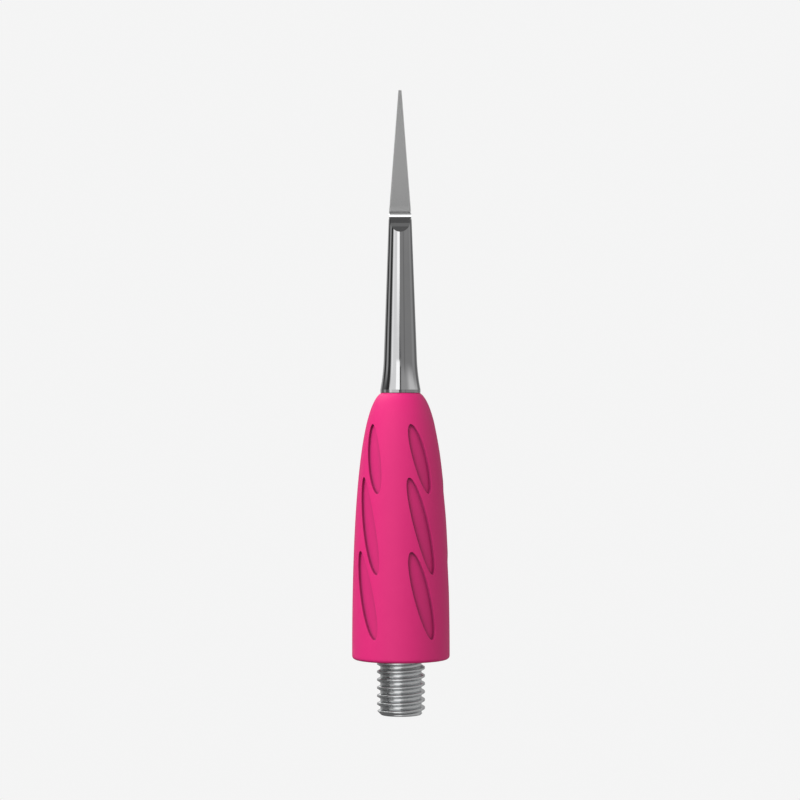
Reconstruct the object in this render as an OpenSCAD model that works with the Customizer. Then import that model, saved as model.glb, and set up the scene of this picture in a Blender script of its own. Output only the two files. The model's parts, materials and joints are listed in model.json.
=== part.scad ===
// Screw-in dental elevator head: flat blade, round shank, moulded finger grip and threaded stud.
// The origin is the centre of the seat face, where the head meets its handle. +Z points to the blade's
// tip, and the flat of the blade faces -Y.

/* [Blade] */
// Length of the blade from the shank's shoulder to the tip
blade_len = 15.59; // [10:0.01:25]
// Width of the blade at the shoulder
blade_base_w = 2.78; // [2.2:0.02:2.8]
// Width of the blunt tip
blade_tip_w = 0.4; // [0.2:0.1:1]
// Thickness of the blade at the shoulder
blade_base_t = 0.66; // [0.6:0.02:0.8]
// Thickness of the tip
blade_tip_t = 0.25; // [0.1:0.05:0.4]
// Radius of the hollow where the blade meets the shoulder
blade_fillet = 0.8; // [0.6:0.1:1.5]

/* [Shank] */
// Length of the shank from the grip to the shoulder
shank_len = 22.23; // [15:0.01:40]
// Radius of the rod at the shoulder
shank_top_r = 1.42; // [1.35:0.005:1.5]
// Growth of the rod's radius for each mm down from the shoulder
shank_taper = 0.0364; // [0.03:0.0002:0.038]
// Length of the flared foot
flare_len = 4.3; // [2:0.1:6]
// Radius of the rim at the bottom of the foot
rim_r = 2.51; // [2.45:0.01:2.6]
// Height of the rim
rim_h = 0.4; // [0.2:0.1:0.8]

/* [Grip] */
// Length of the grip
grip_len = 33.26; // [32:0.02:40]
// Radius of the grip at its widest
grip_r = 6.1; // [5.8:0.1:8]
// Radius of the grip's top, round the shank
grip_top_r = 2.4; // [2.2:0.05:2.45]
// Radius of the rounded bottom edge
grip_edge_r = 0.45; // [0.2:0.05:0.8]
// Depth of the pockets
pocket_depth = 0.35; // [0.2:0.02:0.6]
// Number of pockets in each ring
pockets_round = 5; // [3:1:6]

/* [Stud] */
// Depth of the thread
thread_depth = 0.45; // [0.4:0.05:0.6]
// Length of the stud below the seat face
stud_len = 6.94; // [6.2:0.02:10]

/* [Hidden] */
$fn = 96;

// Drawn past a face that is cut, so that no skin is left
cut = 0.1;

// Thread of the stud: major radius and pitch of M6
thread_r = 3;
thread_pitch = 1;

// Blade: a tang of one section sits in a slot in the shank
tang_w = 1.6;
tang_t = 0.56;
tang_len = 6;
shoulder_z = grip_len + shank_len;
tip_z = shoulder_z + blade_len;

// Shank: half thickness across the flats at the shoulder, and the heights and half thicknesses below it
shoulder_t = 0.49;
bevel_h = 0.3;
bevel_t = 0.76;
neck_h = 1.06;
neck_t = 0.8;
ramp_h = 1.5;
ramp_t = 0.98;
runout_h = 2.3;
runout_t = 1.58;
shank_step = 0.5;

// Head of the shank: its corners stand out so that the shoulder is as wide as the blade
head_h = 0.6;
head_r = 1.57;

// Core: a flange at the seat face, a barrel, and a nose that tapers towards the shank
flange_r = 4.6;
flange_h = 1.2;
barrel_r = 3.9;
barrel_top = 25;
nose_r = 3.1;
core_len = 30.4;
groove_r = 3.45;
groove_h = 1.2;
groove_z = [8.5, 12.5, 16.5];
flute_r = 0.7;
flutes = 6;
mouth_r = 3.2;
mouth_h = 0.8;

// What goes into the core: the shank's tail from above, the stud's spigot from below, and their cross pins
tail_r = 1.6;
tail_end_z = 18.4;
tail_chamfer = 0.3;
spigot_r = 2.5;
spigot_end_z = 10.8;
spigot_chamfer = 0.4;
shank_pin_r = 0.6;
shank_pin_z = 23;
stud_pin_r = 0.75;
stud_pin_z = 5.5;
pin_half_len = barrel_r - 0.1;
seal_cord_r = 0.5;
seal_z = core_len - seal_cord_r;

// Stud: a relief above the thread, flats on the crests and roots, and a chamfered end
relief_r = 2.8;
crest_w = 0.15;
root_w = 0.2;
first_crest_z = -0.5;
crests = 6;
stud_chamfer = 0.5;

// Grip: the outline is one Bezier curve from the top of the straight foot to the neck
barrel_pull = 12.74;
crown_r = 5.53;
crown_drop = 1.84;
outline_steps = 36;

// Pockets: for each ring its middle height, length, width, lean and turn away from the front
pocket_rings = [
    [25.07, 8.78, 2.02, 12.7, 30],
    [16.8, 12.3, 2.1, 13.7, 27.5],
    [8.24, 11.19, 2.24, 14.5, 26.5]
];
pocket_points = 32;

function lerp(a, b, t) = a + (b - a) * t;
function bezier(p, t) = pow(1 - t, 3) * p[0] + 3 * pow(1 - t, 2) * t * p[1]
    + 3 * (1 - t) * pow(t, 2) * p[2] + pow(t, 3) * p[3];

// Radius of the shank's rod, and of the foot that flares out below it
function rod_r(z) = shank_top_r + shank_taper * (shoulder_z - z);
function flare_r(z) = let (rise = max(0, grip_len + flare_len - z) / (flare_len - rim_h))
    rod_r(z) + (rim_r - rod_r(grip_len + rim_h)) * pow(rise, 2);

// Outline of the grip, sunk below its surface by inset
grip_curve = [
    [grip_r, grip_edge_r],
    [grip_r, grip_edge_r + barrel_pull],
    [crown_r, grip_len - crown_drop],
    [grip_top_r, grip_len]
];
function grip_outline(inset) = concat(
    [[0, inset], [grip_r - grip_edge_r - inset, inset]],
    [for (a = [15:15:75]) [
        grip_r - grip_edge_r + (grip_edge_r - inset) * sin(a),
        grip_edge_r - (grip_edge_r - inset) * cos(a)
    ]],
    [for (i = [0:outline_steps]) bezier(grip_curve, i / outline_steps) - [inset, 0]],
    [[0, grip_len]]
);

// Outline of one pocket, an ellipse as seen along the radius
function pocket_outline(len, w) = [for (i = [0:pocket_points - 1])
    let (a = 360 * i / pocket_points) [w / 2 * cos(a), len / 2 * sin(a)]];

// Half of the blade's side profile: a straight taper, then the hollow that meets the shoulder
function blade_half_t(z) = lerp(blade_base_t, blade_tip_t, (z - shoulder_z) / blade_len) / 2;
hollow_rise = shoulder_t - blade_half_t(shoulder_z);
hollow_z = shoulder_z + sqrt(pow(blade_fillet, 2) - pow(blade_fillet - hollow_rise, 2));
blade_side = concat(
    [[blade_half_t(tip_z), tip_z], [blade_half_t(hollow_z), hollow_z]],
    [for (k = [0.25, 0.5, 0.75]) let (z = lerp(hollow_z, shoulder_z, k))
        [blade_half_t(z) + blade_fillet - sqrt(pow(blade_fillet, 2) - pow(hollow_z - z, 2)), z]],
    [[shoulder_t, shoulder_z]]
);

// Half of the profile that the flats leave at the top of the shank, and of the room for the rod below them
neck_side = [
    [shoulder_t, shoulder_z],
    [bevel_t, shoulder_z - bevel_h],
    [neck_t, shoulder_z - neck_h],
    [ramp_t, shoulder_z - ramp_h],
    [runout_t, shoulder_z - runout_h],
    [2 * rim_r, shoulder_z - runout_h],
    [2 * rim_r, grip_len]
];

// Mirrors a half profile about the axis to make a closed outline
function both_sides(half) = concat(half, [for (i = [len(half) - 1:-1:0]) [-half[i][0], half[i][1]]]);

// Stands a side profile, drawn as depth and height, across the width
module across(width) {
    rotate([90, 0, 90])
        linear_extrude(width, center = true)
            children();
}

module cross_pin(r, z) {
    translate([0, 0, z])
        rotate([0, 90, 0])
            cylinder(h = 2 * pin_half_len, r = r, center = true);
}

module blade() {
    color("darkgray") {
        intersection() {
            across(blade_base_w)
                polygon(both_sides(blade_side));
            rotate([90, 0, 0])
                linear_extrude(4 * shoulder_t, center = true)
                    polygon([
                        [-blade_base_w / 2, shoulder_z], [blade_base_w / 2, shoulder_z],
                        [blade_tip_w / 2, tip_z], [-blade_tip_w / 2, tip_z]
                    ]);
            translate([0, 0, shoulder_z])
                cylinder(h = blade_len, r = shank_top_r);
        }
        translate([-tang_w / 2, -tang_t / 2, shoulder_z - tang_len])
            cube([tang_w, tang_t, tang_len + hollow_z - shoulder_z]);
    }
}

module shank_rod() {
    rotate_extrude()
        polygon(concat(
            [[0, grip_len], [rim_r, grip_len], [rim_r, grip_len + rim_h]],
            [for (z = [grip_len + rim_h:shank_step:grip_len + flare_len]) [flare_r(z), z]],
            [
                [rod_r(shoulder_z - head_h), shoulder_z - head_h], [head_r, shoulder_z - bevel_h],
                [head_r, shoulder_z], [0, shoulder_z]
            ]
        ));
}

module shank() {
    color("silver")
        difference() {
            union() {
                intersection() {
                    shank_rod();
                    across(3 * rim_r)
                        polygon(both_sides(neck_side));
                }
                translate([0, 0, tail_end_z + tail_chamfer])
                    cylinder(h = grip_len - tail_end_z - tail_chamfer, r = tail_r);
                translate([0, 0, tail_end_z])
                    cylinder(h = tail_chamfer, r1 = tail_r - tail_chamfer, r2 = tail_r);
            }
            translate([-tang_w / 2, -tang_t / 2, shoulder_z - tang_len])
                cube([tang_w, tang_t, tang_len + cut]);
            for (side = [-1, 1])
                translate([side * (blade_base_w / 2 + rim_r), 0, shoulder_z])
                    cube([2 * rim_r, 2 * rim_r, 2 * head_h], center = true);
            cross_pin(shank_pin_r, shank_pin_z);
        }
}

// The core's outside, which is also the inside of the grip that is moulded over it
module core_outside() {
    difference() {
        rotate_extrude()
            polygon([
                [0, 0], [flange_r, 0], [flange_r, flange_h], [barrel_r, flange_h],
                [barrel_r, barrel_top], [nose_r, core_len], [0, core_len]
            ]);
        for (z = groove_z)
            translate([0, 0, z])
                difference() {
                    cylinder(h = groove_h, r = barrel_r + cut);
                    translate([0, 0, -cut])
                        cylinder(h = groove_h + 2 * cut, r = groove_r);
                }
        for (i = [0:flutes - 1])
            rotate([0, 0, (i + 0.5) * 360 / flutes])
                translate([barrel_r + flute_r / 3, 0, flange_h])
                    cylinder(h = core_len, r = flute_r, $fn = 32);
    }
}

module core() {
    color("lightslategray")
        difference() {
            core_outside();
            translate([0, 0, -cut])
                cylinder(h = mouth_h + cut, r = mouth_r);
            cylinder(h = spigot_end_z, r = spigot_r);
            translate([0, 0, tail_end_z])
                cylinder(h = core_len - tail_end_z + cut, r = tail_r);
            translate([0, 0, core_len - 2 * seal_cord_r])
                cylinder(h = 2 * seal_cord_r + cut, r = tail_r + 2 * seal_cord_r);
            cross_pin(shank_pin_r, shank_pin_z);
            cross_pin(stud_pin_r, stud_pin_z);
        }
}

module grip_body(inset) {
    rotate_extrude()
        polygon(grip_outline(inset));
}

module pockets() {
    for (ring = pocket_rings, i = [0:pockets_round - 1])
        rotate([0, 0, ring[4] + i * 360 / pockets_round])
            translate([0, 0, ring[0]])
                rotate([90, 0, 0])
                    linear_extrude(2 * grip_r)
                        rotate(ring[3])
                            polygon(pocket_outline(ring[1], ring[2]));
}

module grip() {
    color("deeppink")
        difference() {
            grip_body(0);
            difference() {
                pockets();
                grip_body(pocket_depth);
            }
            core_outside();
            cylinder(h = grip_len + cut, r = tail_r);
        }
}

module stud() {
    flank = (thread_pitch - crest_w - root_w) / 2;
    root_r = thread_r - thread_depth;
    color("lightgray")
        difference() {
            rotate_extrude()
                polygon(concat(
                    [
                        [0, spigot_end_z], [spigot_r - spigot_chamfer, spigot_end_z],
                        [spigot_r, spigot_end_z - spigot_chamfer], [spigot_r, mouth_h],
                        [relief_r, mouth_h], [relief_r, 0], [root_r, first_crest_z + crest_w / 2 + flank]
                    ],
                    [for (n = [0:crests - 1]) let (z = first_crest_z - n * thread_pitch)
                        each [
                            [thread_r, z + crest_w / 2], [thread_r, z - crest_w / 2],
                            [root_r, z - crest_w / 2 - flank], [root_r, z - crest_w / 2 - flank - root_w]
                        ]],
                    [
                        [thread_r - stud_chamfer / 2, stud_chamfer / 2 - stud_len],
                        [thread_r - stud_chamfer, -stud_len], [0, -stud_len]
                    ]
                ));
            cross_pin(stud_pin_r, stud_pin_z);
        }
}

module shank_pin() {
    color("gainsboro")
        cross_pin(shank_pin_r, shank_pin_z);
}

module stud_pin() {
    color("gainsboro")
        cross_pin(stud_pin_r, stud_pin_z);
}

module front_seal() {
    color("dimgray")
        translate([0, 0, seal_z])
            rotate_extrude()
                translate([tail_r + seal_cord_r, 0])
                    circle(r = seal_cord_r, $fn = 48);
}

blade();
shank();
grip();
core();
stud();
shank_pin();
stud_pin();
front_seal();
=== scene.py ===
"""Looks for the screw-in dental elevator head, with blade, shank, grip and stud rebuilt as fine meshes."""

import json
import math

import bmesh
import bpy
import numpy as np
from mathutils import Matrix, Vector
from mathutils.geometry import delaunay_2d_cdt


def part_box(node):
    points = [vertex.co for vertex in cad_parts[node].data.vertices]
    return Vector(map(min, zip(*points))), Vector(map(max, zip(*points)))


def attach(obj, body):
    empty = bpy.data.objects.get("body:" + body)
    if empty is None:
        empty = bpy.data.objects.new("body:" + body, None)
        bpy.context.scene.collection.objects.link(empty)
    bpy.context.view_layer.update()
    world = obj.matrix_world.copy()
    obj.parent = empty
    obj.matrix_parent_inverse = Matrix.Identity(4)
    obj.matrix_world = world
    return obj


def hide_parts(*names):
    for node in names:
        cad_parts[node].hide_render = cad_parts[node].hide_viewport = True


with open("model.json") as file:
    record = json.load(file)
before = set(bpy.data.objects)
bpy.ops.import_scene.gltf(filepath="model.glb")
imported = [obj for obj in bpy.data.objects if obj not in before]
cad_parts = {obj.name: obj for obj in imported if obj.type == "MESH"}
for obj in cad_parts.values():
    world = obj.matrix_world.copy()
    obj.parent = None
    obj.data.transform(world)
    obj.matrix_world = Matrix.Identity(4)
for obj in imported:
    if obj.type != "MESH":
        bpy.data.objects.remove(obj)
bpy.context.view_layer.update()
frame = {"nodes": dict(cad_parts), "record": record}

# Lengths are in millimetres, as in part.scad, and MM turns them into the frame's metres. Only the lamps and
# the camera are placed in metres.
MM = 0.001
BODY = "root"


def extent(node):
    """Lowest and highest corner of a CAD node in millimetres."""
    low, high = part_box(node)
    return np.array(low) / MM, np.array(high) / MM


# ---------------------------------------------------------------- sizes that the CAD gives
_, grip_high = extent("grip")
shank_low, shank_high = extent("shank")
blade_low, blade_high = extent("blade")
stud_low, stud_high = extent("stud")
_, core_high = extent("core")

GRIP_R, GRIP_TOP = grip_high[0], grip_high[2]
RIM_R, SHOULDER_Z, TAIL_END_Z = shank_high[0], shank_high[2], shank_low[2]
TIP_Z, TANG_END_Z, BLADE_HALF_W = blade_high[2], blade_low[2], blade_high[0]
THREAD_R, STUD_END_Z, SPIGOT_END_Z = stud_high[0], stud_low[2], stud_high[2]
FLANGE_R, CORE_TOP = core_high[0], core_high[2]

# Grip outline, from part.scad
GRIP_TOP_R = 2.4
GRIP_EDGE_R = 0.45
GRIP_CURVE = [
    (GRIP_R, GRIP_EDGE_R), (GRIP_R, GRIP_EDGE_R + 12.74),
    (5.53, GRIP_TOP - 1.84), (GRIP_TOP_R, GRIP_TOP),
]

# Pockets: middle height, length, width, lean and turn away from the front, from part.scad
POCKET_RINGS = [
    (25.07, 8.78, 2.02, 12.7, 30),
    (16.8, 12.3, 2.1, 13.7, 27.5),
    (8.24, 11.19, 2.24, 14.5, 26.5),
]
POCKETS_ROUND = 5
POCKET_DEPTH = 0.35

# Pockets: rounding at the lip and at the foot of the wall, draft, steps in the floor, and the painted shade
# along the wall, a darkening of the colour that stands in for the shadow in the recess, with its reach in
# millimetres and its amount from 0 to 1
LIP_R = 0.05
TOE_R = 0.05
DRAFT = 0.03
FLOOR_RINGS = 8
SPINE_HALF_W = 0.12
SHADE_REACH = 0.2
FLOOR_SHADE = 0.22
LIP_SHADE = 0.8

# Room for the core inside the grip, as radius and height of each corner. It is the one in part.scad without
# the core's flutes and grooves, which don't show
CORE_OUTLINE = [(FLANGE_R, 0), (FLANGE_R, 1.2), (3.9, 1.2), (3.9, 25), (3.1, CORE_TOP)]

# Shank, from part.scad
TAIL_R = 1.6
SHANK_TOP_R = 1.42
SHANK_TAPER = 0.0364
FLARE_LEN = 4.3
RIM_H = 0.4
NECK = [(0, 0.49), (0.3, 0.76), (1.06, 0.8), (1.5, 0.98), (2.3, 1.58)]
HEAD_R = 1.57
HEAD_DROPS = (0.3, 0.6)
TANG_W, TANG_T = 1.6, 0.56
SHANK_PIN_R, SHANK_PIN_Z = 0.6, 23
STUD_PIN_R, STUD_PIN_Z = 0.75, 5.5

# Blade, from part.scad, and the slim bevel along its edges with its own rounding
BLADE_BASE_HALF_T = 0.33
BLADE_TIP_HALF_T = 0.125
BLADE_TIP_HALF_W = 0.2
HOLLOW_R = 0.8
BEVEL_SHARE = 0.06
EDGE_EASE = 0.012

# Stud, from part.scad, but the thread is a right-hand helix, a little shallower and wider at its crests
PITCH = 1.0
THREAD_DEPTH = 0.42
CREST_HALF_W = 0.11
ROOT_EASE, CREST_EASE, CHAMFER_EASE = 0.06, 0.03, 0.04
STUD_CHAMFER = 0.5
RELIEF_R, MOUTH_H, SPIGOT_R = 2.8, 0.8, 2.5
# Height of one crest at the left side, seen from the front
CREST_PHASE = -0.58


# ---------------------------------------------------------------- mesh tools
def radial_point(azimuth, radius, z):
    """A point at an azimuth in radians, counted from the front (-Y) towards the right (+X)."""
    return np.stack([radius * np.sin(azimuth), -radius * np.cos(azimuth), z + 0 * radius], axis=-1)


def make_object(name, vertices, faces, sharp_degrees=35, painted_shade=None):
    """Makes a smooth-shaded object from points in millimetres, with edges over an angle kept sharp."""
    mesh = bpy.data.meshes.new(name)
    mesh.from_pydata((np.asarray(vertices) * MM).tolist(), [], [list(map(int, f)) for f in faces])
    # Painted shade for the grip's pockets, stored on the mesh for the material
    if painted_shade is not None:
        mesh.attributes.new("painted_shade", "FLOAT", "POINT").data.foreach_set("value", painted_shade)
    unshaded = bmesh.new()
    unshaded.from_mesh(mesh)
    bmesh.ops.remove_doubles(unshaded, verts=unshaded.verts, dist=1e-4 * MM)
    bmesh.ops.dissolve_degenerate(unshaded, edges=unshaded.edges, dist=1e-5 * MM)
    bmesh.ops.recalc_face_normals(unshaded, faces=unshaded.faces)
    unshaded.to_mesh(mesh)
    unshaded.free()
    obj = bpy.data.objects.new(name, mesh)
    bpy.context.scene.collection.objects.link(obj)
    shade(obj, sharp_degrees)
    return obj


def shade(obj, sharp_degrees):
    mesh = obj.data
    mesh.polygons.foreach_set("use_smooth", [True] * len(mesh.polygons))
    mesh.set_sharp_from_angle(angle=math.radians(sharp_degrees))
    mesh.update()


def ring_faces(count, rows, first=0):
    """Quads between stacked rings of count points each."""
    return [
        (first + r * count + i, first + r * count + (i + 1) % count,
         first + (r + 1) * count + (i + 1) % count, first + (r + 1) * count + i)
        for r in range(rows - 1) for i in range(count)
    ]


def ring_stack(rings):
    """Vertices and faces of a stack of rings, with a flat cap at each end."""
    count = len(rings[0])
    faces = ring_faces(count, len(rings))
    last = (len(rings) - 1) * count
    faces.append(tuple(range(count))[::-1])
    faces.append(tuple(last + i for i in range(count)))
    return np.concatenate(rings), faces


def cut_with(obj, tool, sharp_degrees=35):
    """Subtracts a tool from an object for good and throws the tool away."""
    modifier = obj.modifiers.new("cut", "BOOLEAN")
    modifier.operation = "DIFFERENCE"
    modifier.solver = "EXACT"
    modifier.object = tool
    depsgraph = bpy.context.evaluated_depsgraph_get()
    result = bpy.data.meshes.new_from_object(obj.evaluated_get(depsgraph))
    obj.modifiers.clear()
    obj.data = result
    bpy.data.objects.remove(tool)
    shade(obj, sharp_degrees)


def box_tool(low, high):
    x0, y0, z0 = low
    x1, y1, z1 = high
    bottom = np.array([(x0, y0, z0), (x1, y0, z0), (x1, y1, z0), (x0, y1, z0)], float)
    top = bottom + (0, 0, z1 - z0)
    return make_object("box_tool", *ring_stack([bottom, top]))


def pin_tool(radius, z, half_length):
    """A cylinder along X for a cross pin's hole."""
    turn = np.linspace(0, 2 * math.pi, 48, endpoint=False)
    section = np.stack([0 * turn, radius * np.cos(turn), z + radius * np.sin(turn)], axis=-1)
    reach = (half_length, 0, 0)
    return make_object("pin_tool", *ring_stack([section - reach, section + reach]))


# ---------------------------------------------------------------- grip
def bezier(points, share):
    a, b, c, d = (np.array(p, float) for p in points)
    s = np.asarray(share)[:, None]
    return (1 - s) ** 3 * a + 3 * (1 - s) ** 2 * s * b + 3 * (1 - s) * s ** 2 * c + s ** 3 * d


GRIP_OUTLINE = bezier(GRIP_CURVE, np.linspace(0, 1, 600))


def grip_radius(z):
    return np.interp(z, GRIP_OUTLINE[:, 1], GRIP_OUTLINE[:, 0])


def pocket_section(half_width):
    """The pocket from lip to middle: growth of the outline, depth, and how much painted shade sits there."""
    quarter = np.linspace(0, math.pi / 2, 6)
    lip = [
        (LIP_R * (1 - math.sin(a)), LIP_R * (1 - math.cos(a)), LIP_SHADE * a / quarter[-1])
        for a in quarter
    ]
    toe_edge = POCKET_DEPTH - TOE_R
    toe = [(-DRAFT - TOE_R * (1 - math.cos(a)), toe_edge + TOE_R * math.sin(a), 1) for a in quarter]
    floor_w = half_width - SPINE_HALF_W + toe[-1][0]
    steps = floor_w * np.linspace(0, 1, FLOOR_RINGS + 1)[1:] ** 1.6
    # The floor keeps a share of painted shade everywhere and takes more near the wall
    unshaded = 1 - FLOOR_SHADE
    floor = [
        (toe[-1][0] - step, POCKET_DEPTH, FLOOR_SHADE + unshaded * math.exp(-step / SHADE_REACH))
        for step in steps
    ]
    return lip + toe + floor


class Pocket:
    """One slanted oval pocket, cut along the radius at its own azimuth."""

    POINTS = 132

    def __init__(self, z, length, width, lean, azimuth):
        self.z, self.half_l, self.half_w = z, length / 2, width / 2
        self.lean, self.azimuth = math.radians(lean), math.radians(azimuth)

    def outline(self, growth):
        """Points of the outline grown outwards: offset along the tangent, and height."""
        turn = np.linspace(0, 2 * math.pi, self.POINTS, endpoint=False)
        across = (self.half_w + growth) * np.sin(turn)
        along = (self.half_l + growth) * np.cos(turn)
        return (
            across * math.cos(self.lean) - along * math.sin(self.lean),
            self.z + across * math.sin(self.lean) + along * math.cos(self.lean),
        )

    def ring(self, growth, depth):
        tangent, z = self.outline(growth)
        radius = grip_radius(z) - depth
        azimuth = self.azimuth + np.arcsin(tangent / radius)
        return azimuth, radius, z

    def holds(self, azimuth, z, growth):
        """Whether points on the skin lie inside the outline grown outwards."""
        tangent = grip_radius(z) * np.sin(azimuth - self.azimuth)
        up = z - self.z
        across = tangent * math.cos(self.lean) + up * math.sin(self.lean)
        along = up * math.cos(self.lean) - tangent * math.sin(self.lean)
        return (across / (self.half_w + growth)) ** 2 + (along / (self.half_l + growth)) ** 2 < 1

    def rings(self):
        """All rings of the pocket from the lip inwards, and the painted shade on each."""
        section = pocket_section(self.half_w)
        rings = [radial_point(*self.ring(growth, depth)) for growth, depth, _ in section]
        return rings, [painted_shade for _, _, painted_shade in section]

    def spine_faces(self, first):
        """Closes the innermost ring across its length."""
        n = self.POINTS
        faces = [(first, first + 1, first + n - 1)]
        faces += [
            (first + i, first + i + 1, first + n - i - 1, first + n - i) for i in range(1, n // 2 - 1)
        ]
        faces.append((first + n // 2 - 1, first + n // 2, first + n // 2 + 1))
        return faces


SECTOR_STEPS = 38
SECTOR_MIDDLE = 27
SECTOR_START = math.radians(SECTOR_MIDDLE - 180 / POCKETS_ROUND)
SECTOR_TURN = 2 * math.pi / POCKETS_ROUND
SKIN_BOTTOM, SKIN_TOP = 1.6, 30.4
SKIN_STEP = 0.22


def grip_sector():
    """One fifth of the grip's skin with its three pockets."""
    pockets = [Pocket(*row) for row in POCKET_RINGS]
    flat_scale = GRIP_R
    turns = SECTOR_START + SECTOR_TURN * np.arange(SECTOR_STEPS + 1) / SECTOR_STEPS
    heights = np.linspace(SKIN_BOTTOM, SKIN_TOP, round((SKIN_TOP - SKIN_BOTTOM) / SKIN_STEP))
    grid_a, grid_z = (g.ravel() for g in np.meshgrid(turns, heights))
    edge_gap = 0.1
    keep = ~np.any([p.holds(grid_a, grid_z, LIP_R + edge_gap) for p in pockets], axis=0)
    azimuths, zs, edges = [grid_a[keep]], [grid_z[keep]], []
    count = int(keep.sum())
    for pocket in pockets:
        azimuth, _, z = pocket.ring(LIP_R, 0)
        edges += [(count + i, count + (i + 1) % Pocket.POINTS) for i in range(Pocket.POINTS)]
        azimuths.append(azimuth)
        zs.append(z)
        count += Pocket.POINTS
    azimuth, z = np.concatenate(azimuths), np.concatenate(zs)
    flat = [Vector((a * flat_scale, h)) for a, h in zip(azimuth, z)]
    points, _, triangles, *_ = delaunay_2d_cdt(flat, edges, [], 0, 1e-7)
    azimuth = np.array([p.x for p in points]) / flat_scale
    z = np.array([p.y for p in points])
    triangles = np.array(triangles)
    middle_a, middle_z = azimuth[triangles].mean(axis=1), z[triangles].mean(axis=1)
    inside = np.any([p.holds(middle_a, middle_z, LIP_R) for p in pockets], axis=0)
    vertices = [radial_point(azimuth, grip_radius(z), z)]
    faces = [tuple(t) for t in triangles[~inside]]
    # The skin between the pockets gets no painted shade
    painted_shade = [np.zeros(len(azimuth))]
    first = len(azimuth)
    for pocket in pockets:
        rings, ring_shade = pocket.rings()
        faces += ring_faces(Pocket.POINTS, len(rings), first)
        faces += pocket.spine_faces(first + (len(rings) - 1) * Pocket.POINTS)
        vertices += rings
        painted_shade.append(np.repeat(ring_shade, Pocket.POINTS))
        first += len(rings) * Pocket.POINTS
    return np.concatenate(vertices), faces, np.concatenate(painted_shade)


def turned(points, angle):
    c, s = math.cos(angle), math.sin(angle)
    return points @ np.array([[c, s, 0], [-s, c, 0], [0, 0, 1]])


def make_grip():
    sector, sector_faces, sector_shade = grip_sector()
    vertices, faces, first = [], [], 0
    for i in range(POCKETS_ROUND):
        vertices.append(turned(sector, i * SECTOR_TURN))
        faces += [tuple(first + v for v in f) for f in sector_faces]
        first += len(sector)
    azimuths = SECTOR_START + SECTOR_TURN * np.arange(SECTOR_STEPS * POCKETS_ROUND) / SECTOR_STEPS
    crown_steps = np.linspace(0, 1, 40) ** 0.8
    crown = GRIP_OUTLINE[np.searchsorted(GRIP_OUTLINE[:, 1], SKIN_TOP):]
    crown_share = np.linspace(0, 1, len(crown))
    crown_r = np.interp(crown_steps, crown_share, crown[:, 0])
    crown_z = np.interp(crown_steps, crown_share, crown[:, 1])
    crown_r[0], crown_z[0] = grip_radius(SKIN_TOP), SKIN_TOP
    top_lip = [(GRIP_TOP_R, GRIP_TOP), (TAIL_R, GRIP_TOP), (TAIL_R, CORE_TOP)]
    core = CORE_OUTLINE[::-1]
    edge_turn = np.linspace(0, math.pi / 2, 9)
    edge = [
        (GRIP_R - GRIP_EDGE_R * (1 - math.sin(a)), GRIP_EDGE_R * (1 - math.cos(a))) for a in edge_turn
    ]
    foot = [(grip_radius(z), z) for z in np.linspace(GRIP_EDGE_R, SKIN_BOTTOM, 6)[1:]]
    outline = list(zip(crown_r, crown_z)) + top_lip + core + edge + foot
    rings = [radial_point(azimuths, np.full(len(azimuths), r), z) for r, z in outline]
    faces += ring_faces(len(azimuths), len(rings), first)
    vertices += rings
    vertices = np.concatenate(vertices)
    painted_shade = np.zeros(len(vertices))
    painted_shade[:first] = np.tile(sector_shade, POCKETS_ROUND)
    return make_object("grip_sleeve", vertices, faces, 50, painted_shade)


# ---------------------------------------------------------------- shank
ROUND_POINTS = 256
ROUND_TURNS = np.linspace(0, 2 * math.pi, ROUND_POINTS, endpoint=False)


def smooth_least(a, b, reach):
    """The lesser of two values, blended where they come within reach of each other."""
    h = np.clip(0.5 + 0.5 * (b - a) / reach, 0, 1)
    return b * (1 - h) + a * h - reach * h * (1 - h)


def rod_radius(z):
    return SHANK_TOP_R + SHANK_TAPER * (SHOULDER_Z - z)


def flare_radius(z):
    foot_z = GRIP_TOP + RIM_H
    rise = max(0, GRIP_TOP + FLARE_LEN - z) / (FLARE_LEN - RIM_H)
    return rod_radius(z) + (RIM_R - rod_radius(foot_z)) * rise ** 2


def shank_ring(z, radius):
    """A round section, but at the head the sides are as far apart as the blade's."""
    drop = SHOULDER_Z - z
    around = np.full(ROUND_POINTS, np.interp(drop, HEAD_DROPS, (HEAD_R, radius)))
    if drop < HEAD_DROPS[1]:
        around = np.minimum(around, BLADE_HALF_W / np.maximum(np.abs(np.sin(ROUND_TURNS)), 1e-3))
    return radial_point(ROUND_TURNS, around, z)


def neck_tool(side):
    """What the grinding takes off the front (-1) or the back (1) of the neck."""
    outside = 2 * HEAD_R
    profile = [(half_t, SHOULDER_Z - drop) for drop, half_t in NECK]
    profile += [(outside, profile[-1][1]), (outside, SHOULDER_Z + 1), (NECK[0][1], SHOULDER_Z + 1)]
    section = np.array([(0, side * y, z) for y, z in profile])
    return make_object("neck_tool", *ring_stack([section - (outside, 0, 0), section + (outside, 0, 0)]))


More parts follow.
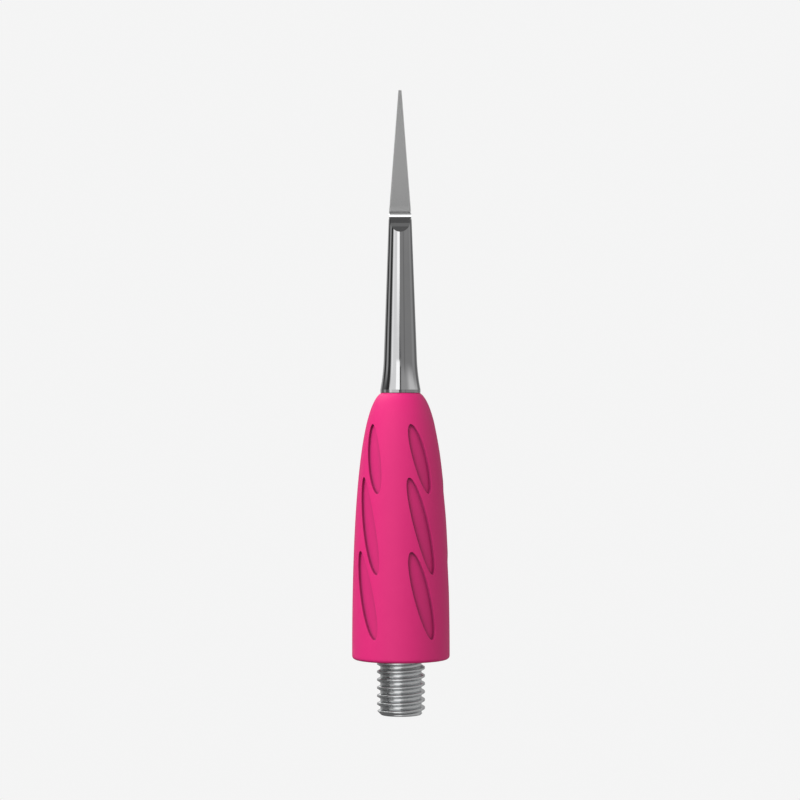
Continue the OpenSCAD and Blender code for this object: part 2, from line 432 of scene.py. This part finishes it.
def make_shank():
    tail_chamfer, rim_step, corner = 0.3, 0.1, 0.03
    corner_cut = 0.3 * corner
    neck_start = SHOULDER_Z - NECK[-1][0]
    rows = [
        (TAIL_END_Z, TAIL_R - tail_chamfer), (TAIL_END_Z + tail_chamfer, TAIL_R), (GRIP_TOP, TAIL_R),
        (GRIP_TOP, RIM_R - corner), (GRIP_TOP + corner_cut, RIM_R - corner_cut), (GRIP_TOP + corner, RIM_R),
    ]
    rows += [(z, RIM_R) for z in np.linspace(GRIP_TOP + rim_step, GRIP_TOP + RIM_H, 4)]
    rows += [(z, flare_radius(z)) for z in np.linspace(GRIP_TOP + RIM_H, GRIP_TOP + FLARE_LEN, 50)[1:]]
    rows += [(z, rod_radius(z)) for z in np.linspace(GRIP_TOP + FLARE_LEN, neck_start, 50)[1:-1]]
    rows += [(z, rod_radius(z)) for z in np.linspace(neck_start, SHOULDER_Z, 24)]
    shank = make_object("polished_shank", *ring_stack([shank_ring(z, r) for z, r in rows]))
    slot = box_tool((-TANG_W / 2, -TANG_T / 2, TANG_END_Z), (TANG_W / 2, TANG_T / 2, SHOULDER_Z + 1))
    for tool in (neck_tool(-1), neck_tool(1), slot, pin_tool(SHANK_PIN_R, SHANK_PIN_Z, 2 * TAIL_R)):
        cut_with(shank, tool, 10)
    return shank


# ---------------------------------------------------------------- blade
def blade_ring(z, half_w, half_t):
    """An eight-sided section: flat front and back, flat sides, and a slim bevel on each corner."""
    w, t = half_w * (1 - BEVEL_SHARE), half_t - half_w * BEVEL_SHARE
    quarter = [(w, half_t), (half_w, t)]
    right = [(x, -y) for x, y in quarter] + [(x, y) for x, y in quarter[::-1]]
    corners = right + [(-x, -y) for x, y in right]
    return np.array([(x, y, z) for x, y in corners])


def make_blade():
    hollow_rise = NECK[0][1] - BLADE_BASE_HALF_T
    hollow_h = math.sqrt(HOLLOW_R ** 2 - (HOLLOW_R - hollow_rise) ** 2)
    blade_h = TIP_Z - SHOULDER_Z
    heights = np.concatenate([np.linspace(0, hollow_h, 12), np.linspace(hollow_h, blade_h, 24)[1:]])
    rings = [
        np.array([(x, y, z) for x, y, z in [
            (TANG_W / 2, -TANG_T / 2, 0), (TANG_W / 2, -TANG_T / 6, 0), (TANG_W / 2, TANG_T / 6, 0),
            (TANG_W / 2, TANG_T / 2, 0), (-TANG_W / 2, TANG_T / 2, 0), (-TANG_W / 2, TANG_T / 6, 0),
            (-TANG_W / 2, -TANG_T / 6, 0), (-TANG_W / 2, -TANG_T / 2, 0)]]) + (0, 0, z)
        for z in (TANG_END_Z, SHOULDER_Z)
    ]
    for h in heights:
        share = h / blade_h
        half_w = BLADE_HALF_W + (BLADE_TIP_HALF_W - BLADE_HALF_W) * share
        half_t = BLADE_BASE_HALF_T + (BLADE_TIP_HALF_T - BLADE_BASE_HALF_T) * share
        below = max(0.0, hollow_h - h)
        half_t += HOLLOW_R - math.sqrt(HOLLOW_R ** 2 - below ** 2)
        rings.append(blade_ring(SHOULDER_Z + h, half_w, half_t))
    blade = make_object("ground_blade", *ring_stack(rings), 15)
    rounding = blade.modifiers.new("eased edges", "BEVEL")
    rounding.width = EDGE_EASE * MM
    rounding.segments = 2
    rounding.limit_method = "ANGLE"
    rounding.angle_limit = math.radians(25)
    return blade


# ---------------------------------------------------------------- stud
def thread_radius(azimuth, z):
    """Radius of the threaded part: a 60 degree right-hand thread with eased crests and roots."""
    crest = CREST_PHASE + PITCH * (azimuth + math.pi / 2) / (2 * math.pi)
    offset = np.abs((z - crest) / PITCH - np.round((z - crest) / PITCH)) * PITCH
    depth = math.sqrt(3) * (offset - CREST_HALF_W)
    depth = smooth_least(depth, np.full_like(depth, THREAD_DEPTH), ROOT_EASE)
    depth = -smooth_least(-depth, np.zeros_like(depth), CREST_EASE)
    chamfer = THREAD_R - STUD_CHAMFER + (z - STUD_END_Z)
    return smooth_least(THREAD_R - depth, np.full_like(depth, chamfer), CHAMFER_EASE)


def make_stud():
    rings = []
    for z in np.linspace(STUD_END_Z, 0, 200):
        rings.append(radial_point(ROUND_TURNS, np.minimum(thread_radius(ROUND_TURNS, z), THREAD_R), z))
    spigot_chamfer, lead_out = 0.4, 0.02
    for z, radius in [
        (lead_out, RELIEF_R), (MOUTH_H, RELIEF_R), (MOUTH_H, SPIGOT_R),
        (SPIGOT_END_Z - spigot_chamfer, SPIGOT_R), (SPIGOT_END_Z, SPIGOT_R - spigot_chamfer),
    ]:
        rings.append(radial_point(ROUND_TURNS, np.full(ROUND_POINTS, radius), z))
    stud = make_object("threaded_stud", *ring_stack(rings), 50)
    cut_with(stud, pin_tool(STUD_PIN_R, STUD_PIN_Z, 2 * SPIGOT_R), 50)
    return stud


# ---------------------------------------------------------------- materials
class Shader:
    """A Principled material and short ways to add the nodes that feed it."""

    def __init__(self, name, **values):
        self.material = bpy.data.materials.new(name)
        self.material.use_nodes = True
        self.tree = self.material.node_tree
        self.bsdf = self.tree.nodes["Principled BSDF"]
        for socket, value in values.items():
            self.bsdf.inputs[socket.replace("_", " ")].default_value = value

    def node(self, kind, **inputs):
        made = self.tree.nodes.new("ShaderNode" + kind)
        for name, value in inputs.items():
            socket = made.inputs[name.replace("_", " ")]
            if isinstance(value, bpy.types.NodeSocket):
                self.tree.links.new(value, socket)
            else:
                socket.default_value = value
        return made

    def noise(self, scale, stretch=(1, 1, 1), detail=4, roughness=0.5):
        """Noise in the object's own space, scale in cells per millimetre, stretched by an axis factor."""
        place = self.node("TexCoord").outputs["Object"]
        mapping = self.node("Mapping", Vector=place)
        mapping.inputs["Scale"].default_value = [s / MM for s in stretch]
        noise = self.node("TexNoise", Vector=mapping.outputs["Vector"], Scale=scale, Detail=detail)
        noise.inputs["Roughness"].default_value = roughness
        return noise.outputs["Fac"]

    def range(self, value, low, high):
        """Maps a 0 to 1 pattern on to a range."""
        node = self.node("MapRange", Value=value)
        node.inputs["To Min"].default_value = low
        node.inputs["To Max"].default_value = high
        return node.outputs["Result"]

    def rough(self, value):
        self.tree.links.new(value, self.bsdf.inputs["Roughness"])

    def colour(self, value, dark, light):
        """Varies the base colour between two colours."""
        ramp = self.node("ValToRGB", Fac=value)
        ramp.color_ramp.elements[0].color = (*dark, 1)
        ramp.color_ramp.elements[1].color = (*light, 1)
        self.tree.links.new(ramp.outputs["Color"], self.bsdf.inputs["Base Color"])

    def paint_shade(self, attribute, colour):
        """Paints shade: turns the base colour into another one where a value stored on the mesh goes from 0
        to 1.
        """
        unshaded = self.bsdf.inputs["Base Color"].links[0].from_socket
        stored = self.tree.nodes.new("ShaderNodeAttribute")
        stored.attribute_name = attribute
        mix = self.node("MixRGB", Fac=stored.outputs["Fac"], Color1=unshaded, Color2=(*colour, 1))
        self.tree.links.new(mix.outputs["Color"], self.bsdf.inputs["Base Color"])

    def bump(self, height, depth_mm, strength=1.0):
        bump = self.node("Bump", Height=height, Strength=strength, Distance=depth_mm * MM)
        self.tree.links.new(bump.outputs["Normal"], self.bsdf.inputs["Normal"])


def ground_steel():
    shader = Shader("ground steel", Metallic=1.0, Roughness=0.13)
    lines = shader.noise(9, stretch=(1, 1, 0.04), detail=3)
    shader.colour(lines, (0.88, 0.88, 0.88), (0.94, 0.94, 0.94))
    shader.rough(shader.range(lines, 0.1, 0.16))
    shader.bump(lines, 0.0015, 0.3)
    return shader.material


def polished_steel():
    shader = Shader("polished steel", Metallic=1.0, Roughness=0.05)
    haze = shader.noise(0.6, detail=3)
    shader.colour(haze, (0.49, 0.49, 0.495), (0.52, 0.52, 0.525))
    shader.rough(shader.range(haze, 0.03, 0.07))
    return shader.material


def pink_silicone():
    shader = Shader("pink silicone", Roughness=0.5, IOR=1.36)
    clouds = shader.noise(0.35, detail=3)
    shader.colour(clouds, (0.59, 0.017, 0.152), (0.62, 0.023, 0.16))
    # Painted shade in the pockets: the colour darkens towards this on the walls and floors, where the recess
    # would be in shadow
    shader.paint_shade("painted_shade", (0.3, 0.02, 0.1))
    grain = shader.noise(14, detail=3)
    shader.rough(shader.range(clouds, 0.47, 0.55))
    shader.bump(grain, 0.002, 0.3)
    return shader.material


def satin_steel():
    shader = Shader("satin steel", Metallic=1.0, Roughness=0.24)
    streaks = shader.noise(5, stretch=(0.3, 0.3, 2), detail=3)
    shader.colour(streaks, (0.6, 0.61, 0.615), (0.67, 0.68, 0.685))
    shader.rough(shader.range(streaks, 0.2, 0.28))
    shader.bump(streaks, 0.002, 0.3)
    return shader.material


def turned_steel():
    shader = Shader("turned steel", Metallic=1.0, Roughness=0.3)
    place = shader.node("TexCoord").outputs["Object"]
    rings = shader.node("TexWave", Vector=place, Scale=6 / MM, Distortion=0.4)
    rings.wave_type = "RINGS"
    rings.rings_direction = "Z"
    shader.colour(rings.outputs["Fac"], (0.45, 0.46, 0.47), (0.52, 0.53, 0.54))
    shader.rough(shader.range(rings.outputs["Fac"], 0.26, 0.34))
    shader.bump(rings.outputs["Fac"], 0.002, 0.3)
    return shader.material


def seal_rubber():
    shader = Shader("seal rubber", Roughness=0.6)
    grain = shader.noise(20, detail=3)
    shader.colour(grain, (0.02, 0.02, 0.02), (0.04, 0.04, 0.04))
    shader.bump(grain, 0.004, 0.5)
    return shader.material


MATERIALS = {
    "ground_steel": ground_steel(),
    "polished_steel": polished_steel(),
    "pink_silicone": pink_silicone(),
    "satin_steel": satin_steel(),
    "turned_steel": turned_steel(),
    "seal_rubber": seal_rubber(),
}


# ---------------------------------------------------------------- pieces
def add_piece(obj, node, slot):
    """Hangs a finished piece on the body in place of a CAD node."""
    obj.data.materials.clear()
    obj.data.materials.append(MATERIALS[slot])
    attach(obj, BODY)
    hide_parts(node)


add_piece(make_grip(), "grip", "pink_silicone")
add_piece(make_shank(), "shank", "polished_steel")
add_piece(make_blade(), "blade", "ground_steel")
add_piece(make_stud(), "stud", "satin_steel")

for subpart in frame["record"]["subparts"]:
    node = frame["nodes"][subpart["node"]]
    for index in range(len(node.material_slots)):
        node.material_slots[index].material = MATERIALS[subpart["material_slot"]]


# ---------------------------------------------------------------- stage, light and camera
class Studio:
    """The light all round the part, drawn by direction: soft-edged panels and gaps on an even grey."""

    def __init__(self, name, ground):
        self.world = bpy.data.worlds.new(name)
        self.world.use_nodes = True
        self.tree = self.world.node_tree
        self.background = self.tree.nodes["Background"]
        place = self.add("TexCoord").outputs["Generated"]
        split = self.add("SeparateXYZ", place).outputs
        front = self.maths("MULTIPLY", split["Y"], -1)
        self.azimuth = self.degrees(self.maths("ARCTAN2", split["X"], front))
        self.elevation = self.degrees(self.maths("ARCSINE", split["Z"]))
        self.value = ground

    def add(self, kind, *inputs):
        made = self.tree.nodes.new("ShaderNode" + kind)
        for socket, value in zip(made.inputs, inputs):
            if isinstance(value, bpy.types.NodeSocket):
                self.tree.links.new(value, socket)
            else:
                socket.default_value = value
        return made

    def maths(self, operation, a, b=0.0):
        node = self.add("Math", a, b)
        node.operation = operation
        return node.outputs[0]

    def degrees(self, angle):
        return self.maths("MULTIPLY", angle, 180 / math.pi)

    def window(self, angle, low, high, soft):
        """1 between two angles and 0 outside, with soft edges centred on them."""
        def edge(at, width, start, end):
            node = self.add("MapRange", angle, at - width / 2, at + width / 2, start, end)
            node.interpolation_type = "SMOOTHSTEP"
            return node.outputs[0]
        soft_low, soft_high = soft
        return self.maths("MULTIPLY", edge(low, soft_low, 0, 1), edge(high, soft_high, 1, 0))

    def panel(self, brightness, azimuth, elevation, soft=(4, 4), soft_elevation=(10, 10)):
        """Blends towards a brightness inside a rectangle of directions, given in degrees."""
        inside = self.maths(
            "MULTIPLY",
            self.window(self.azimuth, *azimuth, soft),
            self.window(self.elevation, *elevation, soft_elevation),
        )
        node = self.add("Mix")
        node.data_type = "FLOAT"
        for socket, value in (("Factor", inside), ("A", self.value), ("B", brightness)):
            target = node.inputs[socket]
            if isinstance(value, bpy.types.NodeSocket):
                self.tree.links.new(value, target)
            else:
                target.default_value = value
        self.value = node.outputs["Result"]

    def finish(self, backdrop):
        """Lights the scene, while the camera sees an even pale backdrop."""
        seen = self.add("LightPath").outputs["Is Camera Ray"]
        node = self.add("Mix")
        node.data_type = "FLOAT"
        self.tree.links.new(seen, node.inputs["Factor"])
        self.tree.links.new(self.value, node.inputs["A"])
        node.inputs["B"].default_value = backdrop
        self.tree.links.new(node.outputs["Result"], self.background.inputs["Color"])
        bpy.context.scene.world = self.world


studio = Studio("studio", 0.4)

# Bright above and high on the left, dim below, with a bright patch low in front
studio.panel(2.3, (-200, 200), (55, 95), soft_elevation=(30, 1))
studio.panel(2.9, (-135, -8), (20, 78), soft=(50, 36), soft_elevation=(16, 24))
studio.panel(0.15, (-130, 130), (-95, -30), soft=(20, 20), soft_elevation=(1, 16))
studio.panel(0.5, (-75, 140), (-26, -1), soft=(20, 20), soft_elevation=(16, 5))
studio.panel(0.15, (-120, -40), (-30, -2), soft=(20, 12), soft_elevation=(16, 3))
studio.panel(1.3, (-38, 4), (-26, -2), soft=(10, 10), soft_elevation=(16, 3))

# A dim wall at the height of the shank, lighter at the left rear, and a lighter band above it on the right
LEVEL = (-1, 11)
studio.panel(0.34, (-200, 200), LEVEL)
studio.panel(0.5, (-4, 130), (11, 32))
studio.panel(0.9, (50, 132), (11, 32), soft=(30, 10))
studio.panel(0.5, (-200, -92), LEVEL, soft=(1, 6))

# Dark gaps on the left
studio.panel(0.06, (-136, -111), LEVEL)
studio.panel(0.07, (-138, -71), (11, 34))
studio.panel(0.05, (-92, -71), (-1, 62))

# A tall window left of the camera, brighter towards both its ends, and dark gaps low down beside the camera
studio.panel(1.2, (-66, -5), (-1, 34), soft=(12, 4))
studio.panel(1.4, (-64, -52), LEVEL, soft=(4, 6))
studio.panel(1.85, (-28, -5), (6.3, 40), soft=(3, 2), soft_elevation=(2.5, 4))
studio.panel(0.14, (-8, -2), (-1, 6.3), soft=(2, 2), soft_elevation=(4, 2))
studio.panel(0.14, (-8, 6), (-1, 5.2), soft=(2, 3), soft_elevation=(4, 0.6))

# Darker and lighter stretches of the wall on the right and behind
studio.panel(0.26, (25, 33), LEVEL, soft=(5, 5))
studio.panel(0.42, (90, 110), LEVEL)
studio.panel(0.2, (118, 148), LEVEL)
studio.panel(0.5, (150, 200), LEVEL, soft=(6, 1))

# Dark areas high up
studio.panel(0.26, (-70, 135), (32, 62), soft=(10, 16), soft_elevation=(8, 6))
studio.panel(0.16, (-70, 190), (62, 84), soft=(10, 1), soft_elevation=(6, 2))

# Left rear: dark below and bright above. Right rear: an even grey
studio.panel(0.16, (-200, -110), (-70, -12), soft=(1, 20))
studio.panel(2.0, (-200, -158), (18, 60), soft=(1, 12))
studio.panel(0.45, (140, 200), (14, 76), soft=(16, 1))

# A narrow dark strip above the camera, which the hollow of the blade reflects
studio.panel(0.13, (-4, 4), (9.3, 46), soft=(3, 3), soft_elevation=(1.5, 6))
studio.finish(0.909)


def pale_floor():
    shader = Shader("pale floor", Roughness=0.8)
    clouds = shader.noise(0.02, detail=2)
    shader.colour(clouds, (0.88, 0.88, 0.88), (0.9, 0.9, 0.9))
    return shader.material


# The floor lies well below the part and is only seen from above. It throws no light back on the part
FLOOR_R, FLOOR_Z, FLOOR_T = 1500, -400, 2
disc = radial_point(ROUND_TURNS, np.full(ROUND_POINTS, FLOOR_R), FLOOR_Z)
floor = make_object("floor", *ring_stack([disc - (0, 0, FLOOR_T), disc]))
floor.data.materials.append(pale_floor())
floor.visible_diffuse = False
floor.visible_glossy = False


def direction(azimuth, elevation):
    """A unit vector at an azimuth from the front towards the right and an elevation, in degrees."""
    azimuth, elevation = math.radians(azimuth), math.radians(elevation)
    level = math.cos(elevation)
    return Vector((math.sin(azimuth) * level, -math.cos(azimuth) * level, math.sin(elevation)))


def softbox(name, azimuth, elevation, width, brightness):
    """A square lamp spanning a width in degrees from the part. It shows in no reflection or picture."""
    distance = 0.8
    lamp_data = bpy.data.lights.new(name, "AREA")
    lamp_data.size = 2 * distance * math.tan(math.radians(width / 2))
    lamp_data.energy = brightness * math.pi * lamp_data.size ** 2
    lamp = bpy.data.objects.new(name, lamp_data)
    towards = direction(azimuth, elevation)
    lamp.location = Vector((0, 0, (GRIP_TOP / 2) * MM)) + distance * towards
    lamp.rotation_euler = towards.to_track_quat("Z", "Y").to_euler()
    lamp.visible_glossy = False
    lamp.visible_camera = False
    bpy.context.scene.collection.objects.link(lamp)


softbox("key", -47, 38, 34, 8.6)
softbox("fill", 62, 0, 50, 0.66)

# The camera looks level along +Y with a slight roll, and takes in FRAME_WIDTH at the part's distance
CAMERA_DISTANCE, CAMERA_SHIFT, CAMERA_HEIGHT = 0.312, -0.00006, 0.03236
CAMERA_ROLL = math.radians(0.1)
FRAME_WIDTH = 0.1
camera_data = bpy.data.cameras.new("camera")
camera = bpy.data.objects.new("camera", camera_data)
bpy.context.scene.collection.objects.link(camera)
bpy.context.scene.camera = camera
camera_data.lens = camera_data.sensor_width * CAMERA_DISTANCE / FRAME_WIDTH
camera_data.clip_start = 0.01
camera_data.clip_end = 10
camera.location = (CAMERA_SHIFT, -CAMERA_DISTANCE, CAMERA_HEIGHT)
camera.rotation_euler = (math.pi / 2, CAMERA_ROLL, 0)

bpy.context.scene.view_settings.view_transform = "Standard"
